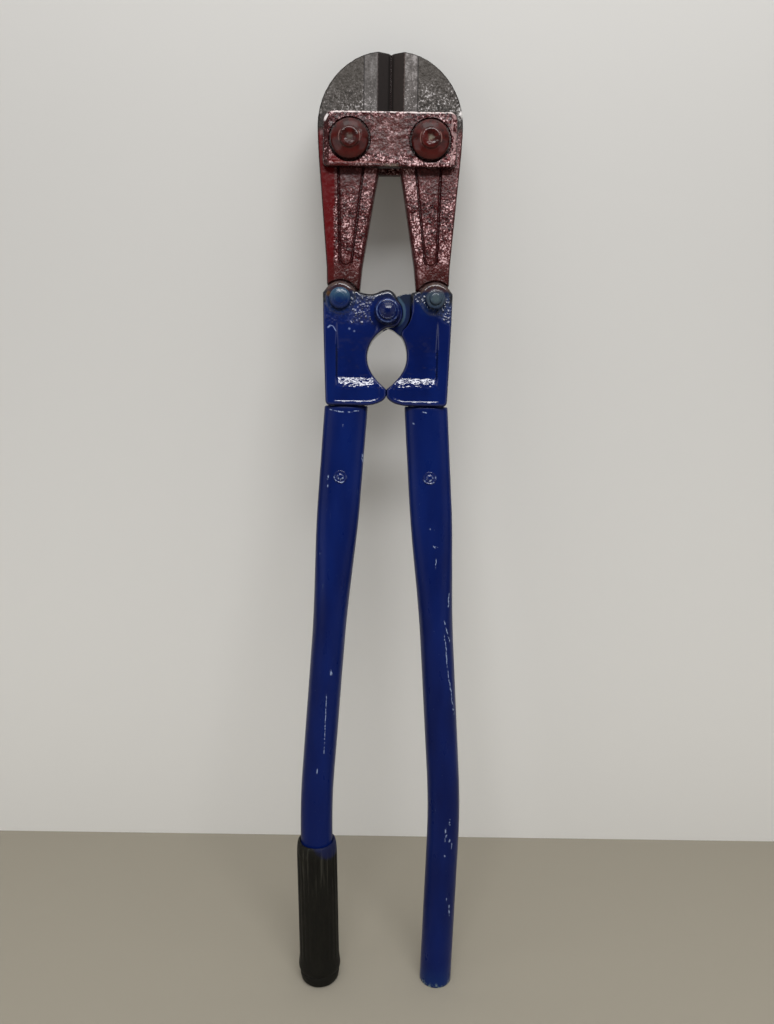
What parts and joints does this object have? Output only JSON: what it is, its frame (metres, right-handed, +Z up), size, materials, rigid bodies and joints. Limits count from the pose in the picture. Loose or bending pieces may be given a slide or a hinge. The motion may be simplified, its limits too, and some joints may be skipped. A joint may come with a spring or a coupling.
{
  "type": "bolt cutters",
  "caption": "Long-handled bolt cutters: curved shear jaws bolted between strap plates, forged compound-lever knuckles and bent tubular handles, the left one with a fluted rubber grip.",
  "frame": {"origin": "middle of the bottom face of the box around the closed tool, which stands upright on its handle ends", "axes": "+Z up the tool from the handle ends to the blade tips, +X to the tool's right as seen from the front, -Y out of the front face, which has the domed jaw bolt heads"},
  "size_m": [0.1642, 0.0624, 0.896],
  "materials": {
    "blade_steel": "dark oiled forged steel, ground along the cutting edges",
    "red_paint": "glossy dark red enamel over a rough forging, worn at the edges",
    "blue_paint": "glossy deep blue enamel with scratches and chips",
    "plain_steel": "plain steel, dull",
    "rubber": "satin black moulded rubber"
  },
  "bodies": {
    "strap": {"front_strap_plate": "red_paint", "rear_strap_plate": "red_paint", "left_jaw_bolt": "red_paint", "left_jaw_washer": "plain_steel", "left_jaw_nut": "red_paint", "right_jaw_bolt": "red_paint", "right_jaw_washer": "plain_steel", "right_jaw_nut": "red_paint"},
    "left_jaw_arm": {"left_jaw": "blade_steel"},
    "right_jaw_arm": {"right_jaw": "blade_steel"},
    "left_handle": {"left_knuckle": "blue_paint", "left_link_bolt": "blue_paint", "left_link_nut": "blue_paint", "left_handle_tube": "blue_paint", "left_tube_rivet": "blue_paint", "left_grip": "rubber", "centre_bolt": "blue_paint", "centre_washer": "blue_paint", "centre_nut": "blue_paint"},
    "right_handle": {"right_knuckle": "blue_paint", "right_link_bolt": "blue_paint", "right_link_nut": "blue_paint", "right_handle_tube": "blue_paint", "right_tube_rivet": "blue_paint"}
  },
  "joints": [
    {"name": "left_jaw_pivot", "type": "hinge", "parent": "strap", "child": "left_jaw_arm", "pos_m": [-0.0352, 0, 0.8203], "axis": [0, -1, 0], "range_deg": [0, 8]},
    {"name": "right_jaw_pivot", "type": "hinge", "parent": "strap", "child": "right_jaw_arm", "pos_m": [0.0352, 0, 0.8203], "axis": [0, 1, 0], "range_deg": [0, 8]},
    {"name": "left_link_pivot", "type": "hinge", "parent": "left_jaw_arm", "child": "left_handle", "pos_m": [-0.0427, 0, 0.6865], "axis": [0, 1, 0], "range_deg": [0, 53]},
    {"name": "right_link_pivot", "type": "hinge", "parent": "right_jaw_arm", "child": "right_handle", "pos_m": [0.0427, 0, 0.6865], "axis": [0, -1, 0], "range_deg": [0, 53]}
  ],
  "couplings": [
    {"joint": "left_jaw_pivot", "follows": "left_link_pivot", "ratio": 0.15},
    {"joint": "right_jaw_pivot", "follows": "left_link_pivot", "ratio": 0.15},
    {"joint": "right_link_pivot", "follows": "left_link_pivot", "ratio": 1}
  ]
}
